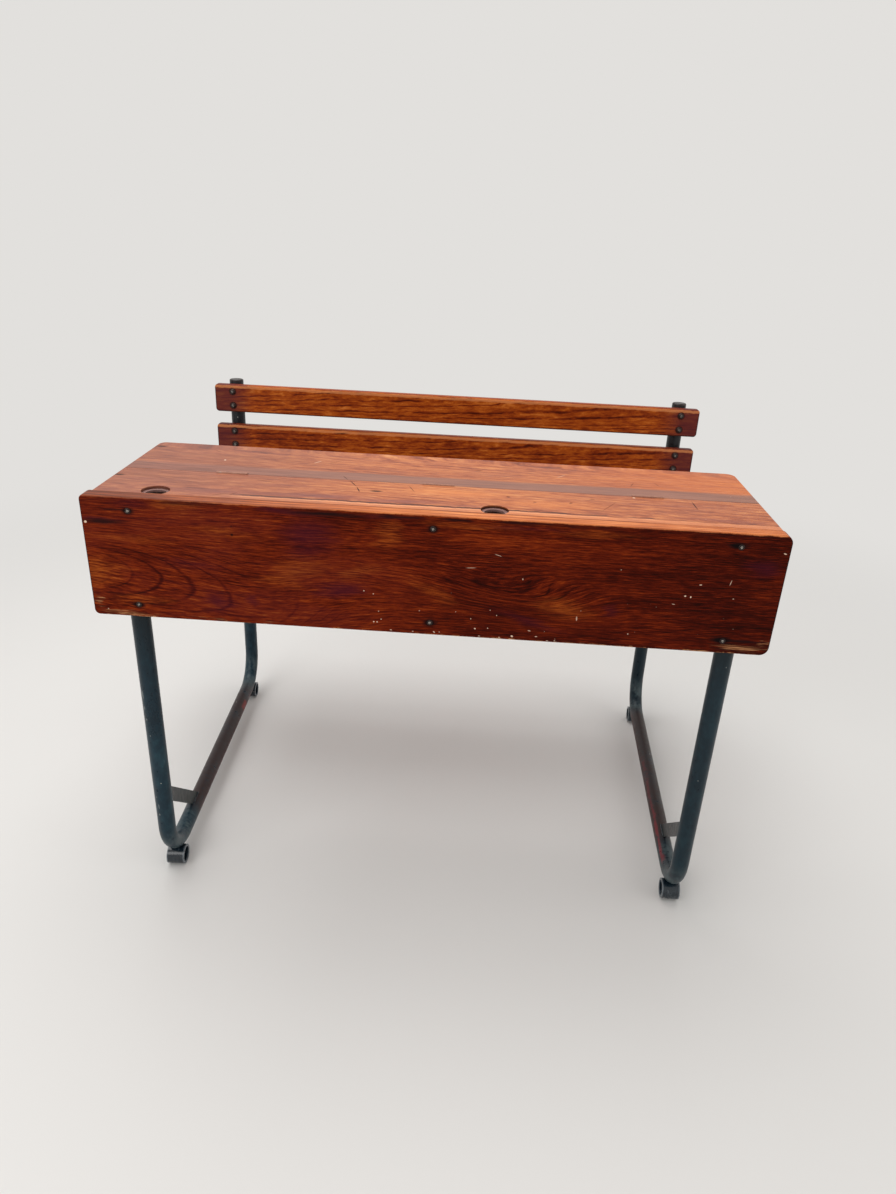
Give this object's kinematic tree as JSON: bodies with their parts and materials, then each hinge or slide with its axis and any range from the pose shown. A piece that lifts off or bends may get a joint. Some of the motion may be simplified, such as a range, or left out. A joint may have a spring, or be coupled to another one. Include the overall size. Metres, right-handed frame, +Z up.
{
  "type": "two-seat school desk with lift lid and bench",
  "caption": "Two-seat wooden school desk with a lift lid over a divided book box, inkwells, and a slatted bench and backrest on bent tube side frames.",
  "frame": {"origin": "middle of the overall box at floor level", "axes": "+X along the desk's width, +Y from the front board to the backrest, +Z up"},
  "size_m": [1.056, 0.7636, 0.787],
  "materials": {
    "board_wood": "worn red-brown varnish with dark grain",
    "top_wood": "worn pink-brown varnish",
    "box_wood": "plain varnished boards",
    "slat_wood": "orange-brown varnish, strong fine grain",
    "frame_paint": "dark teal gloss paint, worn",
    "bolt_steel": "dark domed heads",
    "screw_steel": "dulled steel",
    "hinge_steel": "brown patina",
    "inkwell": "grey glaze, black with ink inside"
  },
  "bodies": {
    "desk": {"backrest_bolts": "bolt_steel", "backrest_nuts": "bolt_steel", "backrest_slat_lower": "slat_wood", "backrest_slat_upper": "slat_wood", "box_bottom": "box_wood", "centre_partition": "box_wood", "front_board": "board_wood", "front_board_screws": "screw_steel", "hinge_rail_screws": "screw_steel", "inkwell_rail": "top_wood", "left_arm_cap": "frame_paint", "left_end_panel": "box_wood", "left_frame_bolts": "bolt_steel", "left_frame_nuts": "bolt_steel", "left_front_brace": "frame_paint", "left_front_foot": "frame_paint", "left_hinge_pin": "hinge_steel", "left_hinge_rail_leaf": "hinge_steel", "left_inkwell_cup": "inkwell", "left_panel_screws": "screw_steel", "left_post_cap": "frame_paint", "left_rear_foot": "frame_paint", "left_seat_arm": "frame_paint", "left_seat_arm_cap": "frame_paint", "left_seat_strut": "frame_paint", "left_side_frame": "frame_paint", "middle_hinge_pin": "hinge_steel", "middle_hinge_rail_leaf": "hinge_steel", "rear_rail": "box_wood", "rear_rail_screws": "screw_steel", "right_arm_cap": "frame_paint", "right_end_panel": "box_wood", "right_frame_bolts": "bolt_steel", "right_frame_nuts": "bolt_steel", "right_front_brace": "frame_paint", "right_front_foot": "frame_paint", "right_hinge_pin": "hinge_steel", "right_hinge_rail_leaf": "hinge_steel", "right_inkwell_cup": "inkwell", "right_panel_screws": "screw_steel", "right_post_cap": "frame_paint", "right_rear_foot": "frame_paint", "right_seat_arm": "frame_paint", "right_seat_arm_cap": "frame_paint", "right_seat_strut": "frame_paint", "right_side_frame": "frame_paint", "seat_bolts": "bolt_steel", "seat_nuts": "bolt_steel", "seat_slat_front": "slat_wood", "seat_slat_middle": "slat_wood", "seat_slat_rear": "slat_wood"},
    "lid": {"lid_board": "top_wood", "left_lid_batten": "box_wood", "right_lid_batten": "box_wood", "lid_batten_screws": "screw_steel", "left_hinge_lid_leaf": "hinge_steel", "middle_hinge_lid_leaf": "hinge_steel", "right_hinge_lid_leaf": "hinge_steel", "hinge_lid_screws": "screw_steel"}
  },
  "joints": [
    {"name": "lid_hinge", "type": "hinge", "parent": "desk", "child": "lid", "pos_m": [0, -0.22426, 0.752], "axis": [1, 0, 0], "range_deg": [0, 175]}
  ]
}
